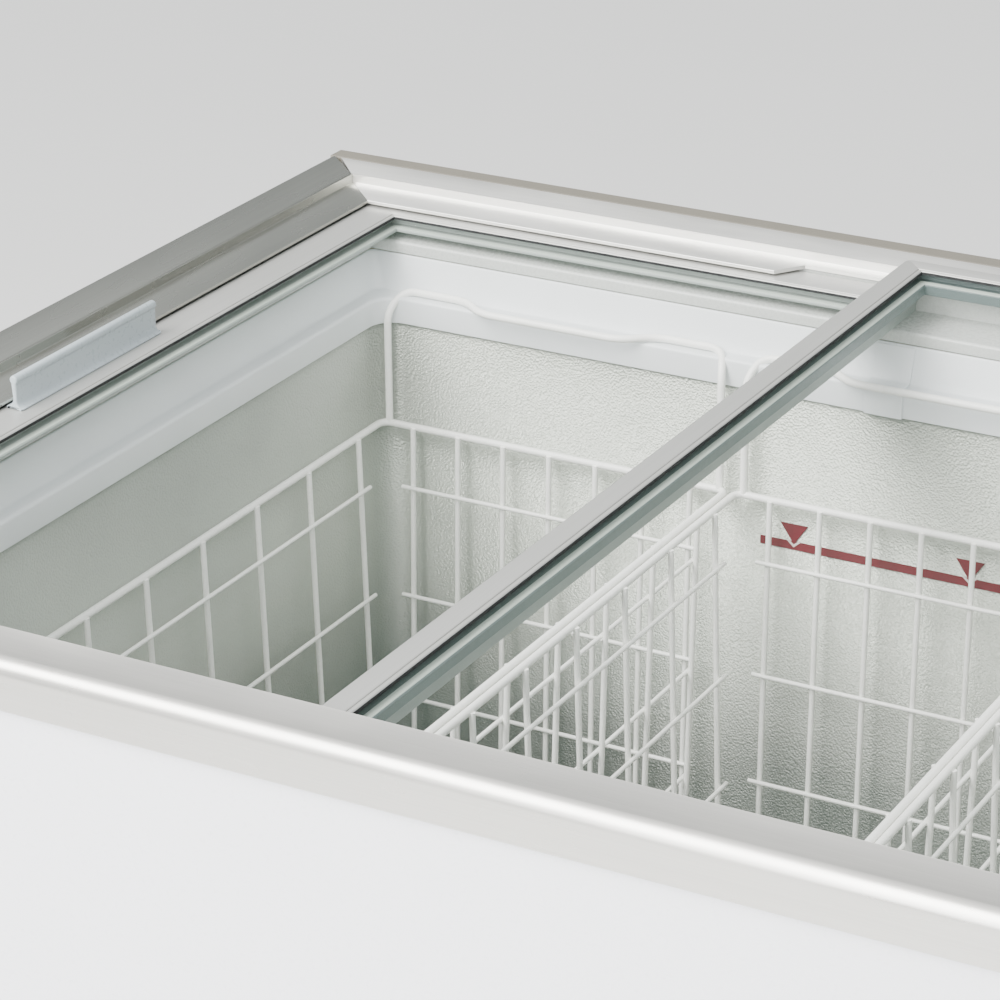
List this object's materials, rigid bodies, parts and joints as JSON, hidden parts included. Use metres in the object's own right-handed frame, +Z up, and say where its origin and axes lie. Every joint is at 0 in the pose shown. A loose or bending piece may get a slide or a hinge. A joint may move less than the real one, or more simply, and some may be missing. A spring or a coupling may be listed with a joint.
{
  "type": "chest freezer",
  "caption": "Retail chest freezer with sliding flat glass lids on stacked tracks, hanging wire baskets, a metal liner and a machine compartment.",
  "frame": {"origin": "on the floor, under the middle of the cabinet's outer box", "axes": "+Z up, +X to the right along the front, +Y to the rear"},
  "size_m": [0.776, 0.674, 0.8882],
  "materials": {
    "white_paint": "satin",
    "satin_aluminium": "satin",
    "liner_aluminium": "satin",
    "grey_plastic": "matte",
    "track_plastic": "satin",
    "white_plastic": "satin",
    "lid_frame": "satin",
    "handle_plastic": "satin",
    "glass": "gloss",
    "coated_wire": "satin",
    "red_tape": "satin",
    "foam": "matte",
    "copper": "satin",
    "black_paint": "satin",
    "galvanised": "satin",
    "black_plastic": "matte",
    "rubber": "matte"
  },
  "bodies": {
    "cabinet": {"bottom_panel": "galvanised", "cabinet_wrap": "white_paint", "collar_joint_front": "white_plastic", "collar_joint_rear": "white_plastic", "collar_left": "white_plastic", "collar_right": "white_plastic", "compartment_bulkhead": "galvanised", "compressor": "black_paint", "compressor_mount_front": "rubber", "compressor_mount_rear": "rubber", "compressor_tray": "galvanised", "condenser": "black_paint", "control_bezel": "white_plastic", "discharge_line": "copper", "drain_tube": "white_plastic", "evaporator_coil": "copper", "fan_motor": "galvanised", "fan_shroud": "black_plastic", "filter_drier": "copper", "foot_front_left": "black_plastic", "foot_front_right": "black_plastic", "foot_rear_left": "black_plastic", "foot_rear_right": "black_plastic", "front_grille": "white_plastic", "inner_liner": "liner_aluminium", "insulation_foam": "foam", "load_line_tape": "red_tape", "power_inlet": "black_plastic", "rear_grille": "galvanised", "rear_panel": "white_paint", "rim_front": "satin_aluminium", "rim_left": "satin_aluminium", "rim_rear": "satin_aluminium", "rim_rear_strip": "grey_plastic", "rim_right": "satin_aluminium", "suction_line": "copper", "thermometer": "black_plastic", "track_front": "track_plastic", "track_left": "track_plastic", "track_rear": "track_plastic", "track_right": "track_plastic"},
    "left_lid": {"left_lid_front_bar": "lid_frame", "left_lid_glass": "glass", "left_lid_handle": "handle_plastic", "left_lid_left_bar": "lid_frame", "left_lid_rear_bar": "lid_frame", "left_lid_right_bar": "lid_frame"},
    "right_lid": {"right_lid_front_bar": "lid_frame", "right_lid_glass": "glass", "right_lid_handle": "handle_plastic", "right_lid_left_bar": "lid_frame", "right_lid_rear_bar": "lid_frame", "right_lid_right_bar": "lid_frame"},
    "basket_1": {"basket_1": "coated_wire"},
    "basket_2": {"basket_2": "coated_wire"},
    "basket_3": {"basket_3": "coated_wire"},
    "fan_rotor": {"fan_blade": "black_plastic"},
    "thermostat_dial": {"thermostat_knob": "black_plastic"},
    "drain_stopper": {"drain_plug": "rubber"}
  },
  "joints": [
    {"name": "left_lid_slide", "type": "slide", "parent": "cabinet", "child": "left_lid", "axis": [1, 0, 0], "range_m": [0, 0.3]},
    {"name": "right_lid_slide", "type": "slide", "parent": "cabinet", "child": "right_lid", "axis": [1, 0, 0], "range_m": [-0.3, 0]},
    {"name": "basket_1_lift", "type": "slide", "parent": "cabinet", "child": "basket_1", "axis": [0, 0, 1], "range_m": [0, 0.018]},
    {"name": "basket_2_lift", "type": "slide", "parent": "cabinet", "child": "basket_2", "axis": [0, 0, 1], "range_m": [0, 0.018]},
    {"name": "basket_3_lift", "type": "slide", "parent": "cabinet", "child": "basket_3", "axis": [0, 0, 1], "range_m": [0, 0.018]},
    {"name": "fan_spin", "type": "hinge", "parent": "cabinet", "child": "fan_rotor", "pos_m": [0.279, 0.035, 0.14], "axis": [0, 1, 0], "continuous": true},
    {"name": "thermostat_turn", "type": "hinge", "parent": "cabinet", "child": "thermostat_dial", "pos_m": [0.222, -0.3301, 0.234], "axis": [0, 1, 0], "range_deg": [0, 270]},
    {"name": "drain_plug_pull", "type": "slide", "parent": "cabinet", "child": "drain_stopper", "axis": [0, 0, 1], "range_m": [0, 0.03]}
  ]
}
